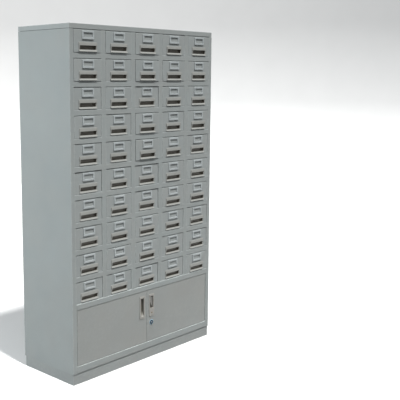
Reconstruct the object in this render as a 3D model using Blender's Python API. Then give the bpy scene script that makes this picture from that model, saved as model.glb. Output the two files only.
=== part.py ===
"""Card catalog cabinet in folded sheet steel: fifty small drawers over a two-door cupboard, on a plinth."""

import bmesh
import bpy
from mathutils import Matrix, Vector

# Driving dimensions in metres: X runs across the front, the front faces -Y and Z is up.
WIDTH = 1.070
DEPTH = 0.400
HEIGHT = 1.800
PLINTH_HEIGHT = 0.057
PLINTH_INSET = 0.005
PLINTH_FLANGE = 0.030
CAP_HEIGHT = 0.025
GAP = 0.0003  # between neighbouring pieces that touch

# Sheet thicknesses
SKIN = 0.0010
FACE_SHEET = 0.0012
INNER_SHEET = 0.0008

# Drawer grid. A row's number counts from the top and a column's from the left.
ROWS = 10
COLUMNS = 5
OPENING_WIDTH = 0.1795
OPENING_HEIGHT = 0.1113
COLUMN_PITCH = 0.2100
ROW_PITCH = 0.1382
OPENING_FLANGE = 0.018  # how far the edge of each opening is folded back

# Cupboard opening
DOORWAY_WIDTH = 1.014
DOORWAY_BOTTOM = 0.094
DOORWAY_TOP = 0.389

# Drawer
GAP_UNDER = 0.0006
GAP_OVER = 0.0025
GAP_BESIDE = 0.0015
TRAVEL = 0.330
TRAY_LENGTH = TRAVEL + 0.040  # the last of the tray stays inside the frame
TRAY_WALL_HEIGHT = 0.088
FRONT_PAN_DEPTH = 0.013
STOP_HEIGHT = 0.006  # how far the tray's back wall stands above the opening, to stop it coming out

# How each drawer sits: P and p stand proud of the frame, f is flush, b and B sit back.
SEAT = {"P": 0.0035, "p": 0.0020, "f": 0.0, "b": -0.0020, "B": -0.0035}
SEATING = (
    "pppff",
    "pfPpf",
    "bfBff",
    "fbpbf",
    "bbPfb",
    "BbBff",
    "bfBff",
    "bffbb",
    "bffbb",
    "bbBbf",
)

# Drawer hardware, measured down from the top of the opening
LABEL_WIDTH = 0.078
LABEL_TOP = 0.0035
LABEL_BOTTOM = 0.0465
LABEL_DEPTH = 0.0042
WINDOW_WIDTH = 0.062
WINDOW_TOP = 0.0105
WINDOW_BOTTOM = 0.0402
PULL_WIDTH = 0.114
PULL_TOP = 0.0585
PULL_BOTTOM = 0.1062
PULL_HOOD = 0.005
PULL_RIM = 0.002
SLOT_WIDTH = 0.100
SLOT_TOP = 0.0775
SLOT_BOTTOM = 0.0965
HOOD_NOSE = 0.004  # the hood's upright front edge
POCKET_RISE = 0.009  # how far the finger pocket reaches up behind the hood
POCKET_DEPTH = 0.0105
POCKET_WALL = 0.0015

# Doors
DOOR_THICKNESS = 0.018
DOOR_SETBACK = 0.001  # from the frame's face to the doors'
DOOR_EDGE_GAP = 0.0015
DOOR_HINGE_GAP = 0.0022
DOOR_SEAM = 0.0024
PIVOT_OFFSET = 0.004  # from the door's outer edge and from its face
PIVOT_RADIUS = 0.0022
PIVOT_CLEARANCE = 0.0003
PIVOT_REACH = 0.008
DOOR_STOP_LIP = 0.008

# Handle cups in the doors, and the lever and lock on the right-hand door
CUP_WIDTH = 0.044
CUP_BOTTOM = 0.2345
CUP_TOP = 0.3605
CUP_RIM = 0.0025
CUP_DEPTH = 0.0140
CUP_WALL = 0.0015
CUP_CENTRE = 0.037
RECESS_WIDTH = 0.024
RECESS_TOP_MARGIN = 0.012
LEFT_RECESS_HEIGHT = 0.100
RIGHT_RECESS_HEIGHT = 0.067
KEY_BOSS_RADIUS = 0.0048
KEY_BOSS_HEIGHT = 0.255
BOSS_PROUD = 0.0008
KEY_SLOT = (0.0014, 0.0070)
LEVER_HEIGHT = 0.058
LEVER_WIDTH = 0.018
LEVER_FOOT_WIDTH = 0.008
LEVER_EDGE = 0.003  # from the lever's axis to the recess's wall
LEVER_THICKNESS = 0.0025
LEVER_PIN_RADIUS = 0.0011
LEVER_PIN_REACH = 0.0010
LOCK_CENTRE = 0.0366
LOCK_HEIGHT = 0.200
LOCK_RING_RADIUS = 0.011
LOCK_BARREL_RADIUS = 0.0085
LOCK_PROUD = 0.0025
CAM_LENGTH = 0.050
CAM_WIDTH = 0.012
CAM_THICKNESS = 0.0015
CAM_CLEARANCE = 0.0008  # between the doors' back edges and the cam

# Levels and planes that follow from the dimensions above
FURTHEST_FORWARD = SEAT["P"] + PULL_HOOD
FRONT = -(DEPTH + FURTHEST_FORWARD) / 2 + FURTHEST_FORWARD
BACK = FRONT + DEPTH
DOOR_FACE = FRONT + DOOR_SETBACK
CASE_TOP = HEIGHT - CAP_HEIGHT
FIRST_OPENING_TOP = CASE_TOP - GAP - INNER_SHEET
INNER_BACK = BACK - SKIN - 2 * GAP


def clear_scene():
    for thing in list(bpy.data.objects):
        bpy.data.objects.remove(thing, do_unlink=True)


def finish(name, colour, roughness, metallic=0.0):
    """A Principled material in the given linear colour."""
    material = bpy.data.materials.new(name)
    material.use_nodes = True
    shader = material.node_tree.nodes["Principled BSDF"]
    shader.inputs["Base Color"].default_value = (*colour, 1.0)
    shader.inputs["Roughness"].default_value = roughness
    shader.inputs["Metallic"].default_value = metallic
    return material


class Shape:
    """Closed pieces that are joined into one solid, and cutters that are then taken away from it."""

    def __init__(self):
        self.added = bmesh.new()
        self.cut = bmesh.new()

    def box(self, x, y, z, cut=False):
        """A box that spans each (low, high) pair."""
        mesh = self.cut if cut else self.added
        spans = [Vector((low, high)) for low, high in (x, y, z)]
        middle = [(low + high) / 2 for low, high in spans]
        size = [high - low for low, high in spans]
        place = Matrix.Translation(middle) @ Matrix.Diagonal((*size, 1.0))
        bmesh.ops.create_cube(mesh, size=1.0, matrix=place)
        return self

    def rod(self, start, end, radius, sides=16, cut=False):
        """A round bar from start to end."""
        mesh = self.cut if cut else self.added
        start, end = Vector(start), Vector(end)
        turn = Vector((0, 0, 1)).rotation_difference(end - start).to_matrix().to_4x4()
        bmesh.ops.create_cone(
            mesh,
            cap_ends=True,
            segments=sides,
            radius1=radius,
            radius2=radius,
            depth=(end - start).length,
            matrix=Matrix.Translation((start + end) / 2) @ turn,
        )
        return self

    def prism(self, outline, step, cut=False):
        """An outline of points in space, swept along step."""
        mesh = self.cut if cut else self.added
        face = mesh.faces.new([mesh.verts.new(point) for point in outline])
        swept = bmesh.ops.extrude_face_region(mesh, geom=[face])["geom"]
        moved = [part for part in swept if isinstance(part, bmesh.types.BMVert)]
        bmesh.ops.translate(mesh, verts=moved, vec=step)
        bmesh.ops.recalc_face_normals(mesh, faces=mesh.faces)
        return self

    def mesh(self, name, origin=(0, 0, 0)):
        """The finished solid, as a mesh whose own zero is at origin."""
        body = loose_object(name, self.added)
        cutter = loose_object(name + "_cutter", self.cut)
        cut = body.modifiers.new("cut", "BOOLEAN")
        cut.operation = "DIFFERENCE"
        cut.solver = "EXACT"
        cut.use_self = True
        cut.object = cutter
        bpy.context.view_layer.update()
        graph = bpy.context.evaluated_depsgraph_get()
        solid = bpy.data.meshes.new_from_object(body.evaluated_get(graph))
        solid.transform(Matrix.Translation(-Vector(origin)))
        for helper in (body, cutter):
            bpy.data.objects.remove(helper, do_unlink=True)
        return solid


def loose_object(name, shape):
    data = bpy.data.meshes.new(name)
    shape.to_mesh(data)
    shape.free()
    made = bpy.data.objects.new(name, data)
    bpy.context.scene.collection.objects.link(made)
    return made


def place(name, mesh, material, origin, parent=None):
    """An object for one sub-part, with its origin at the given point in space."""
    made = bpy.data.objects.new(name, mesh)
    bpy.context.scene.collection.objects.link(made)
    if not mesh.materials:
        mesh.materials.append(material)
    made.location = origin
    if parent:
        made.parent = parent
        made.location = Vector(origin) - parent.matrix_world.translation
    bpy.context.view_layer.update()
    return made


def opening_centre(row, column):
    """The middle of a drawer opening, in the plane of the face frame."""
    x = (column - (COLUMNS + 1) / 2) * COLUMN_PITCH
    z = FIRST_OPENING_TOP - (row - 1) * ROW_PITCH - OPENING_HEIGHT / 2
    return Vector((x, FRONT, z))


def plinth_base():
    """An upright band of sheet, standing on a flange that is folded in at its foot."""
    half_width = WIDTH / 2 - PLINTH_INSET
    front, back = FRONT + PLINTH_INSET, BACK - PLINTH_INSET
    inner = half_width - PLINTH_FLANGE
    shape = Shape().box((-half_width, half_width), (front, back), (0, PLINTH_HEIGHT))
    hollow_x = (-half_width + FACE_SHEET, half_width - FACE_SHEET)
    hollow_y = (front + FACE_SHEET, back - FACE_SHEET)
    shape.box(hollow_x, hollow_y, (FACE_SHEET, 1), cut=True)
    shape.box((-inner, inner), (front + PLINTH_FLANGE, back - PLINTH_FLANGE), (-1, 1), cut=True)
    return shape


def cabinet_shell():
    """Both sides and the back, folded from one sheet."""
    start, end = FRONT + FACE_SHEET + GAP, BACK
    bottom, top = PLINTH_HEIGHT + GAP, CASE_TOP - GAP
    half = WIDTH / 2
    shape = Shape().box((-half, half), (start, end), (bottom, top))
    inside = (-half + SKIN, half - SKIN)
    shape.box(inside, (start - 1, end - SKIN), (bottom - 1, top + 1), cut=True)
    return shape


def top_cap():
    """A shallow pan, open below."""
    half = WIDTH / 2
    shape = Shape().box((-half, half), (FRONT, BACK), (CASE_TOP, HEIGHT))
    inside = (-half + FACE_SHEET, half - FACE_SHEET)
    depth = (FRONT + FACE_SHEET, BACK - FACE_SHEET)
    shape.box(inside, depth, (CASE_TOP - 1, HEIGHT - FACE_SHEET), cut=True)
    return shape


def drawer_rack():
    """The face frame, with the shelves and upright sheets that make a pigeonhole for each drawer."""
    bottom, top = PLINTH_HEIGHT + GAP, CASE_TOP - GAP
    half = WIDTH / 2
    shape = Shape().box((-half, half), (FRONT, FRONT + FACE_SHEET), (bottom, top))
    depth = (FRONT + FACE_SHEET / 2, INNER_BACK)
    flange = (FRONT + FACE_SHEET / 2, FRONT + OPENING_FLANGE)
    outer = COLUMN_PITCH * (COLUMNS - 1) / 2 + OPENING_WIDTH / 2 + INNER_SHEET
    lowest = opening_centre(ROWS, 1).z - OPENING_HEIGHT / 2 - INNER_SHEET
    for column in range(1, COLUMNS + 1):
        middle = opening_centre(1, column).x
        for side in (-1, 1):
            near = middle + side * OPENING_WIDTH / 2
            wall = sorted((near, near + side * INNER_SHEET))
            shape.box(wall, depth, (lowest, top))
    for row in range(1, ROWS + 1):
        upper = opening_centre(row, 1).z + OPENING_HEIGHT / 2
        lower = upper - OPENING_HEIGHT
        shape.box((-outer, outer), flange, (upper, upper + INNER_SHEET))
        if row < ROWS:
            shape.box((-outer, outer), depth, (lower - INNER_SHEET, lower))
    full = half - SKIN - GAP
    for level in (lowest + INNER_SHEET, DOORWAY_BOTTOM, bottom + INNER_SHEET):
        shape.box((-full, full), depth, (level - INNER_SHEET, level))
    inner, back = full - OPENING_FLANGE, INNER_BACK - OPENING_FLANGE
    shape.box((-inner, inner), (FRONT + OPENING_FLANGE, back), (0, bottom + INNER_SHEET * 2), cut=True)
    side = DOORWAY_WIDTH / 2
    lip = DOOR_FACE + DOOR_THICKNESS + SKIN
    over = (DOORWAY_TOP, DOORWAY_TOP + INNER_SHEET)
    shape.box((-side, side), (flange[0], lip + INNER_SHEET), over)
    shape.box((-side, side), (lip, lip + INNER_SHEET), (DOORWAY_TOP - DOOR_STOP_LIP, over[1]))
    for sign in (-1, 1):
        jamb = sorted((sign * side, sign * (side + INNER_SHEET)))
        shape.box(jamb, flange, (DOORWAY_BOTTOM - INNER_SHEET, over[1]))
    cut_rack_openings(shape)
    return shape


def cut_rack_openings(shape):
    """The drawer openings, the doorway and the sockets for the doors' pivots."""
    through = (FRONT - 1, FRONT + FACE_SHEET * 2)
    for row in range(1, ROWS + 1):
        for column in range(1, COLUMNS + 1):
            middle = opening_centre(row, column)
            across = (middle.x - OPENING_WIDTH / 2, middle.x + OPENING_WIDTH / 2)
            tall = (middle.z - OPENING_HEIGHT / 2, middle.z + OPENING_HEIGHT / 2)
            shape.box(across, through, tall, cut=True)
    side = DOORWAY_WIDTH / 2
    shape.box((-side, side), through, (DOORWAY_BOTTOM, DOORWAY_TOP), cut=True)
    for sign in (-1, 1):
        x, y = pivot_place(sign)
        for level in (DOORWAY_BOTTOM, DOORWAY_TOP):
            ends = (x, y, level - PIVOT_REACH), (x, y, level + PIVOT_REACH)
            shape.rod(*ends, PIVOT_RADIUS + PIVOT_CLEARANCE, cut=True)


def drawer():
    """One tray with its hollow front, label holder and pull, about the middle of its opening."""
    half = OPENING_WIDTH / 2 - GAP_BESIDE
    top = OPENING_HEIGHT / 2
    bottom = -top + GAP_UNDER
    front_top = top - GAP_OVER
    tray_top = bottom + TRAY_WALL_HEIGHT
    shape = Shape().box((-half, half), (0, FRONT_PAN_DEPTH), (bottom, front_top))
    shape.box((-half, half), (FRONT_PAN_DEPTH / 2, TRAY_LENGTH), (bottom, tray_top))
    back_wall = (TRAY_LENGTH - INNER_SHEET, TRAY_LENGTH)
    shape.box((-half, half), back_wall, (bottom, top + STOP_HEIGHT))
    inside = (-half + INNER_SHEET, half - INNER_SHEET)
    card_space = (FRONT_PAN_DEPTH, TRAY_LENGTH - INNER_SHEET)
    shape.box(inside, card_space, (bottom + INNER_SHEET, 1), cut=True)
    floor, ceiling = bottom + INNER_SHEET, front_top - INNER_SHEET
    shape.box(inside, (SKIN, FRONT_PAN_DEPTH + SKIN), (tray_top, ceiling), cut=True)
    hollow = (SKIN, FRONT_PAN_DEPTH - INNER_SHEET)
    pocket_side = SLOT_WIDTH / 2 + POCKET_WALL
    pocket_bottom = top - SLOT_BOTTOM - POCKET_WALL
    pocket_top = top - SLOT_TOP + POCKET_RISE + POCKET_WALL
    shape.box(inside, hollow, (floor, pocket_bottom), cut=True)
    shape.box(inside, hollow, (pocket_top, ceiling), cut=True)
    shape.box((inside[0], -pocket_side), hollow, (floor, ceiling), cut=True)
    shape.box((pocket_side, inside[1]), hollow, (floor, ceiling), cut=True)
    add_label_holder(shape, top)
    add_pull(shape, top)
    return shape


def add_label_holder(shape, top):
    """A raised frame round a window, for a card."""
    across = (-LABEL_WIDTH / 2, LABEL_WIDTH / 2)
    shape.box(across, (-LABEL_DEPTH, SKIN / 2), (top - LABEL_BOTTOM, top - LABEL_TOP))
    window = (-WINDOW_WIDTH / 2, WINDOW_WIDTH / 2)
    shape.box(window, (-1, 0), (top - WINDOW_BOTTOM, top - WINDOW_TOP), cut=True)


def add_pull(shape, top):
    """A moulded cup pull: a hood over a slot, with a finger pocket behind them."""
    half = PULL_WIDTH / 2
    shape.box((-half, half), (-PULL_RIM, SKIN / 2), (top - PULL_BOTTOM, top - PULL_TOP))
    hood = [
        (-half, SKIN / 2, top - PULL_TOP),
        (-half, -PULL_RIM, top - PULL_TOP),
        (-half, -PULL_HOOD, top - SLOT_TOP + HOOD_NOSE),
        (-half, -PULL_HOOD, top - SLOT_TOP),
        (-half, SKIN / 2, top - SLOT_TOP),
    ]
    shape.prism(hood, (PULL_WIDTH, 0, 0))
    across = (-SLOT_WIDTH / 2, SLOT_WIDTH / 2)
    shape.box(across, (-1, 0), (top - SLOT_BOTTOM, top - SLOT_TOP), cut=True)
    pocket = (top - SLOT_BOTTOM, top - SLOT_TOP + POCKET_RISE)
    shape.box(across, (-PULL_RIM / 2, POCKET_DEPTH), pocket, cut=True)


def pivot_place(sign):
    """Where a door's upright axis stands: sign is -1 for the left door and 1 for the right."""
    edge = DOORWAY_WIDTH / 2 - DOOR_HINGE_GAP
    return sign * (edge - PIVOT_OFFSET), DOOR_FACE + PIVOT_OFFSET


def door(sign):
    """A folded pan, open behind, with its pivot pins and the holes for its fittings."""
    across = sorted((sign * DOOR_SEAM / 2, sign * (DOORWAY_WIDTH / 2 - DOOR_HINGE_GAP)))
    low, high = DOORWAY_BOTTOM + DOOR_EDGE_GAP, DOORWAY_TOP - DOOR_EDGE_GAP
    shape = Shape().box(across, (DOOR_FACE, DOOR_FACE + DOOR_THICKNESS), (low, high))
    inside = (across[0] + SKIN, across[1] - SKIN)
    shape.box(inside, (DOOR_FACE + SKIN, DOOR_FACE + 1), (low + SKIN, high - SKIN), cut=True)
    x, y = pivot_place(sign)
    shape.rod((x, y, low - PIVOT_REACH), (x, y, low + SKIN / 2), PIVOT_RADIUS)
    shape.rod((x, y, high - SKIN / 2), (x, y, high + PIVOT_REACH), PIVOT_RADIUS)
    through = (DOOR_FACE - 1, DOOR_FACE + SKIN * 2)
    wide, tall = cup_body(sign, LEFT_RECESS_HEIGHT, GAP)
    shape.box(wide, through, tall, cut=True)
    if sign > 0:
        lock = Vector((LOCK_CENTRE, 0, LOCK_HEIGHT))
        ends = [lock + Vector((0, y, 0)) for y in through]
        shape.rod(*ends, LOCK_BARREL_RADIUS + GAP, sides=24, cut=True)
    return shape


def recess_span(sign, height):
    """The (low, high) pairs in X and Z of the finger recess in a handle cup."""
    centre = sign * CUP_CENTRE
    top = CUP_TOP - RECESS_TOP_MARGIN
    return (centre - RECESS_WIDTH / 2, centre + RECESS_WIDTH / 2), (top - height, top)


def cup_body(sign, height, extra=0.0):
    """The spans of the box behind the recess, grown by extra on every side."""
    grow = CUP_WALL + extra
    wide, tall = recess_span(sign, height)
    return (wide[0] - grow, wide[1] + grow), (tall[0] - grow, tall[1] + grow)


def handle_cup(sign, height):
    """A moulded cup let into a door, with a flat rim on the door's face."""
    centre = sign * CUP_CENTRE
    rim = (DOOR_FACE - GAP - CUP_RIM, DOOR_FACE - GAP)
    floor = DOOR_FACE + CUP_DEPTH
    outside = (centre - CUP_WIDTH / 2, centre + CUP_WIDTH / 2)
    shape = Shape().box(outside, rim, (CUP_BOTTOM, CUP_TOP))
    wide, tall = cup_body(sign, height)
    shape.box(wide, (rim[0] + CUP_RIM / 2, floor), tall)
    wide, tall = recess_span(sign, height)
    shape.box(wide, (DOOR_FACE - 1, floor - CUP_WALL), tall, cut=True)
    return shape


def right_handle_cup():
    """The cup with the lever's sockets and, below the recess, the boss of a key plug."""
    shape = handle_cup(1, RIGHT_RECESS_HEIGHT)
    start = (CUP_CENTRE, DOOR_FACE - GAP - CUP_RIM - BOSS_PROUD, KEY_BOSS_HEIGHT)
    end = (CUP_CENTRE, DOOR_FACE + CUP_DEPTH, KEY_BOSS_HEIGHT)
    shape.rod(start, end, KEY_BOSS_RADIUS)
    slot = (CUP_CENTRE - KEY_SLOT[0] / 2, CUP_CENTRE + KEY_SLOT[0] / 2)
    tall = (KEY_BOSS_HEIGHT - KEY_SLOT[1] / 2, KEY_BOSS_HEIGHT + KEY_SLOT[1] / 2)
    shape.box(slot, (DOOR_FACE - 1, DOOR_FACE), tall, cut=True)
    x, y = lever_axis()
    bottom, top = recess_span(1, RIGHT_RECESS_HEIGHT)[1]
    socket = LEVER_PIN_RADIUS + GAP
    shape.rod((x, y, bottom - 2 * CUP_WALL), (x, y, bottom + CUP_WALL), socket, cut=True)
    shape.rod((x, y, top - CUP_WALL), (x, y, top + 2 * CUP_WALL), socket, cut=True)
    return shape


def lever_axis():
    """The latch lever turns about an upright pin near the recess's right-hand wall."""
    return CUP_CENTRE + RECESS_WIDTH / 2 - LEVER_EDGE, DOOR_FACE + LEVER_THICKNESS


def latch_lever():
    """A finger plate whose free edge slants, with a pin at its top and bottom."""
    x, y = lever_axis()
    bottom, top = recess_span(1, RIGHT_RECESS_HEIGHT)[1]
    low = (bottom + top - LEVER_HEIGHT) / 2
    high = low + LEVER_HEIGHT
    face = y - LEVER_THICKNESS / 2
    outline = [
        (x + LEVER_PIN_RADIUS, face, low),
        (x + LEVER_PIN_RADIUS, face, high),
        (x - LEVER_WIDTH, face, high),
        (x - LEVER_FOOT_WIDTH, face, low),
    ]
    shape = Shape().prism(outline, (0, LEVER_THICKNESS, 0))
    reach = LEVER_PIN_REACH
    shape.rod((x, y, bottom - reach), (x, y, top + reach), LEVER_PIN_RADIUS, sides=12)
    grip = (x - LEVER_FOOT_WIDTH * 0.8, x - LEVER_FOOT_WIDTH * 0.3)
    middle = (low + LEVER_HEIGHT * 0.2, high - LEVER_HEIGHT * 0.2)
    shape.box(grip, (face - 1, face + LEVER_THICKNESS * 0.3), middle, cut=True)
    return shape


def cam_lock():
    """The lock's ring and barrel, with the cam hanging down behind the door when it is open."""
    face = DOOR_FACE - GAP - LOCK_PROUD
    cam = DOOR_FACE + DOOR_THICKNESS + CAM_CLEARANCE
    centre = Vector((LOCK_CENTRE, 0, LOCK_HEIGHT))
    shape = Shape()
    ring = centre + Vector((0, face, 0)), centre + Vector((0, DOOR_FACE - GAP, 0))
    shape.rod(*ring, LOCK_RING_RADIUS, sides=24)
    barrel = centre + Vector((0, DOOR_FACE - LOCK_PROUD / 2, 0)), centre + Vector((0, cam + CAM_THICKNESS, 0))
    shape.rod(*barrel, LOCK_BARREL_RADIUS, sides=24)
    across = (LOCK_CENTRE - CAM_WIDTH / 2, LOCK_CENTRE + CAM_WIDTH / 2)
    shape.box(across, (cam, cam + CAM_THICKNESS), (LOCK_HEIGHT - CAM_LENGTH, LOCK_HEIGHT))
    slot = (LOCK_CENTRE - KEY_SLOT[0] / 2, LOCK_CENTRE + KEY_SLOT[0] / 2)
    tall = (LOCK_HEIGHT - KEY_SLOT[1] / 2, LOCK_HEIGHT + KEY_SLOT[1] / 2)
    shape.box(slot, (face - 1, face + LOCK_PROUD), tall, cut=True)
    return shape


def build_case(paint, plinth_paint):
    for name, shape, material in (
        ("plinth_base", plinth_base(), plinth_paint),
        ("cabinet_shell", cabinet_shell(), paint),
        ("top_cap", top_cap(), paint),
        ("drawer_rack", drawer_rack(), paint),
    ):
        place(name, shape.mesh(name), material, (0, 0, 0))


def build_drawers(paint):
    """Every drawer is its own object on its own slide, with the same mesh."""
    shared = drawer().mesh("drawer")
    for row in range(1, ROWS + 1):
        for column in range(1, COLUMNS + 1):
            seat = SEAT[SEATING[row - 1][column - 1]]
            spot = opening_centre(row, column) - Vector((0, seat, 0))
            place(f"drawer_r{row:02d}_c{column}", shared, paint, spot)


def build_doors(paint, plastic, steel):
    """The doors on their pivots, and the fittings that ride on them."""
    doors = {}
    for side, sign in (("left", -1), ("right", 1)):
        name = side + "_door"
        pivot = (*pivot_place(sign), 0)
        doors[side] = place(name, door(sign).mesh(name, pivot), paint, pivot)
    left = (-CUP_CENTRE, DOOR_FACE, (CUP_BOTTOM + CUP_TOP) / 2)
    cup = handle_cup(-1, LEFT_RECESS_HEIGHT).mesh("left_handle_cup", left)
    place("left_handle_cup", cup, plastic, left, doors["left"])
    right = (CUP_CENTRE, DOOR_FACE, (CUP_BOTTOM + CUP_TOP) / 2)
    cup = right_handle_cup().mesh("right_handle_cup", right)
    place("right_handle_cup", cup, plastic, right, doors["right"])
    hinge = (*lever_axis(), sum(recess_span(1, RIGHT_RECESS_HEIGHT)[1]) / 2)
    place("latch_lever", latch_lever().mesh("latch_lever", hinge), plastic, hinge, doors["right"])
    spindle = (LOCK_CENTRE, DOOR_FACE, LOCK_HEIGHT)
    place("cam_lock", cam_lock().mesh("cam_lock", spindle), steel, spindle, doors["right"])


def main():
    clear_scene()
    paint = finish("grey_paint", (0.28, 0.30, 0.295), 0.45)
    plinth_paint = finish("plinth_paint", (0.27, 0.285, 0.285), 0.5)
    plastic = finish("warm_grey_plastic", (0.36, 0.345, 0.31), 0.4)
    steel = finish("lock_steel", (0.25, 0.30, 0.36), 0.3, metallic=0.8)
    build_case(paint, plinth_paint)
    build_drawers(paint)
    build_doors(paint, plastic, steel)


main()
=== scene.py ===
"""The looks of a steel card catalog cabinet: folded painted sheet, moulded label holders and cup pulls,
two doors with handle cups, a latch lever and a cam lock."""

import math

import bmesh
import bpy
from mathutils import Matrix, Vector


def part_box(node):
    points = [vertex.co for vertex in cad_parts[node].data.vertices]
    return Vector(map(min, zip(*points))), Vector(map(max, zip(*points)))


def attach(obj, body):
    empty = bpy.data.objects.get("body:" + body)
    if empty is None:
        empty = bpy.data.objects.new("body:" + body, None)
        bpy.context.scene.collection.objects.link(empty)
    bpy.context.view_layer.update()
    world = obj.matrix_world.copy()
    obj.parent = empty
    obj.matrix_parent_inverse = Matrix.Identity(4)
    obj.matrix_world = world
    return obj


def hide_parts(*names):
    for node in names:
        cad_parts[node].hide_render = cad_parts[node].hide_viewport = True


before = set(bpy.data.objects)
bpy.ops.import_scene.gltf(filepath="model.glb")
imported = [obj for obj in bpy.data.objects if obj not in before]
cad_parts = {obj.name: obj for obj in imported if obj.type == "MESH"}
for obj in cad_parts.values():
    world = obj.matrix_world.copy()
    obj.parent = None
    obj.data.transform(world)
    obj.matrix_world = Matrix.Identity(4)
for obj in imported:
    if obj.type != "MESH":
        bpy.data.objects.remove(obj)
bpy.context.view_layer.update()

# Places that follow from the CAD model, in metres. X runs across the front, which faces -Y.
ROWS, COLUMNS = 10, 5
RACK_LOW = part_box("drawer_rack")[0]
CAP_LOW, CAP_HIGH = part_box("top_cap")
PLINTH_LOW, PLINTH_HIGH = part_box("plinth_base")
SHELL_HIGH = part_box("cabinet_shell")[1]
FRONT, BACK = RACK_LOW.y, SHELL_HIGH.y
HALF_WIDTH = SHELL_HIGH.x
CASE_BOTTOM, CASE_TOP = RACK_LOW.z, SHELL_HIGH.z

# Sheet metal
SKIN = 0.0010
INNER_SHEET = 0.0008
FOLD = 0.0016  # outer radius of a fold in the sheet
HEM = 0.0009  # how far a rounded rim stands in from a tray's wall
DEEP = -1.0  # painted shade: a mark below 0, in place of an edge's mark, colours the inside of a slot or recess dark where shade falls
PAINTED_HIGHLIGHT, RAIL_HIGHLIGHT = 3.0, 8.0  # painted highlight: an edge mark so strong that the edge reads as a bright line along a front or a rail, where light catches it

# Drawer openings in the face frame, and the drawers in them
OPENING_WIDTH, OPENING_HEIGHT = 0.1795, 0.1113
COLUMN_PITCH, ROW_PITCH = 0.2100, 0.1382
OPENING_FLANGE = 0.018
GAP_UNDER, GAP_OVER, GAP_BESIDE = 0.0006, 0.0029, 0.0006
TRAY_LENGTH, TRAY_WALL = 0.370, 0.088
FRONT_PAN = 0.013
STOP_RISE = 0.006
FIRST_OPENING_TOP = CAP_LOW.z - 0.0011
GRID_HALF = COLUMN_PITCH * COLUMNS / 2
CAP_GAP = 0.0013  # the open line under the top's turned-down edge
PLINTH_WIDER = 0.0020

# Label holder and pull, measured down from the top of the opening and out from the drawer's face
TOP = OPENING_HEIGHT / 2
LABEL_HALF, LABEL_TOP, LABEL_BOTTOM, LABEL_PROUD = 0.0385, 0.0066, 0.0478, 0.0048
WINDOW_HALF, WINDOW_TOP, WINDOW_BOTTOM = 0.0295, 0.0150, 0.0385
PULL_HALF, PULL_TOP, PULL_BOTTOM = 0.0590, 0.0610, 0.1062
SLOT_HALF, SLOT_TOP, SLOT_BOTTOM = 0.0520, 0.0775, 0.0970
PULL_HOOD = 0.0050
PULL_RIM = 0.0022
PULL_FOOT = 0.0008
PULL_LIP = 0.0049
POCKET_RISE, POCKET_DEPTH, POCKET_WALL = 0.009, 0.0095, 0.0010

# Doorway and doors
DOORWAY_HALF = 0.507
DOORWAY_BOTTOM, DOORWAY_TOP = 0.094, 0.389
HEADER_TOP = 0.4165
SILL_BOTTOM = 0.0600
RAIL_PROUD, RAIL_ROUND = 0.0012, 0.0011
DOOR_FACE = FRONT + 0.0010
DOOR_THICKNESS, DOOR_EDGE_GAP, DOOR_HINGE_GAP, DOOR_SEAM = 0.018, 0.0011, 0.0022, 0.0014
PIVOT_OFFSET, PIVOT_RADIUS, PIVOT_REACH = 0.004, 0.0022, 0.008
CUP_CENTRE, CUP_HALF = 0.037, 0.020
CUP_BOTTOM, CUP_TOP = 0.2345, 0.3605
CUP_RIM, CUP_DEPTH = 0.0028, 0.0125
RECESS_HALF, RECESS_TOP = 0.012, 0.3485
LEFT_RECESS, RIGHT_RECESS = 0.100, 0.067
KEY_BOSS = 0.255
CUP_BED = DOOR_FACE - 0.0003
CUP_FACE = CUP_BED - CUP_RIM
LOCK_PLACE = Vector((0.0366, DOOR_FACE, 0.200))
LOCK_BORE = 0.0088
STIFFENERS = (0.190, 0.360)


class Skin:
    """A mesh made of lofts between rings of points. Each point also has a mark: how much its edge is
    lightened, by wear and as a painted highlight, mostly from 0 to 1, or below 0 for painted shade."""

    def __init__(self):
        self.shape = bmesh.new()
        self.edge = self.shape.verts.layers.float.new("edge")
        self.painted_shade = self.shape.verts.layers.float.new("painted_shade")

    def ring(self, points, wear_and_painted_light=0.0):
        """A ring of points, with one mark for all or a list with one for each."""
        made = [self.shape.verts.new(point) for point in points]
        marks = wear_and_painted_light if isinstance(wear_and_painted_light, list) else [wear_and_painted_light] * len(made)
        # The edge mark lightens an edge, for wear and as a painted highlight; a mark below 0 sets the
        # painted-shade mask instead.
        for vert, mark in zip(made, marks):
            vert[self.edge] = max(mark, 0.0)
            vert[self.painted_shade] = float(mark < 0)
        return made

    def loft(self, rings, wrap=False, caps=(False, False)):
        """A closed skin over (points, mark) rings, which all have the same number of points."""
        made = [self.ring(points, wear_and_painted_light) for points, wear_and_painted_light in rings]
        pairs = list(zip(made, made[1:]))
        if wrap:
            pairs.append((made[-1], made[0]))
        for lower, upper in pairs:
            for here in range(len(lower)):
                there = (here + 1) % len(lower)
                self.shape.faces.new((lower[here], lower[there], upper[there], upper[here]))
        for wanted, end in zip(caps, (made[0], made[-1])):
            if wanted:
                self.shape.faces.new(end)
        return self

    def sheet(self, profile, thickness, start, end, wear_and_painted_light=0.0):
        """A folded sheet: a profile of points, given a thickness to its left, swept from start to end."""
        inner = offset(profile, thickness)
        around = [Vector(point) for point in profile + inner[::-1]]
        rings = [([point + step for point in around], wear_and_painted_light) for step in (Vector(start), Vector(end))]
        return self.loft(rings, caps=(True, True))

    def finish(self, name, body, material, replaces=()):
        """The skin as a piece that rides on its body."""
        return piece(name, self.mesh(name), body, material, replaces=replaces)

    def mesh(self, name, angle=32):
        """The skin as mesh data, smooth except at edges sharper than the angle in degrees."""
        bmesh.ops.remove_doubles(self.shape, verts=self.shape.verts, dist=1e-6)
        bmesh.ops.recalc_face_normals(self.shape, faces=self.shape.faces)
        data = bpy.data.meshes.new(name)
        self.shape.to_mesh(data)
        self.shape.free()
        data.shade_smooth()
        data.set_sharp_from_angle(angle=math.radians(angle))
        return data


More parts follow.
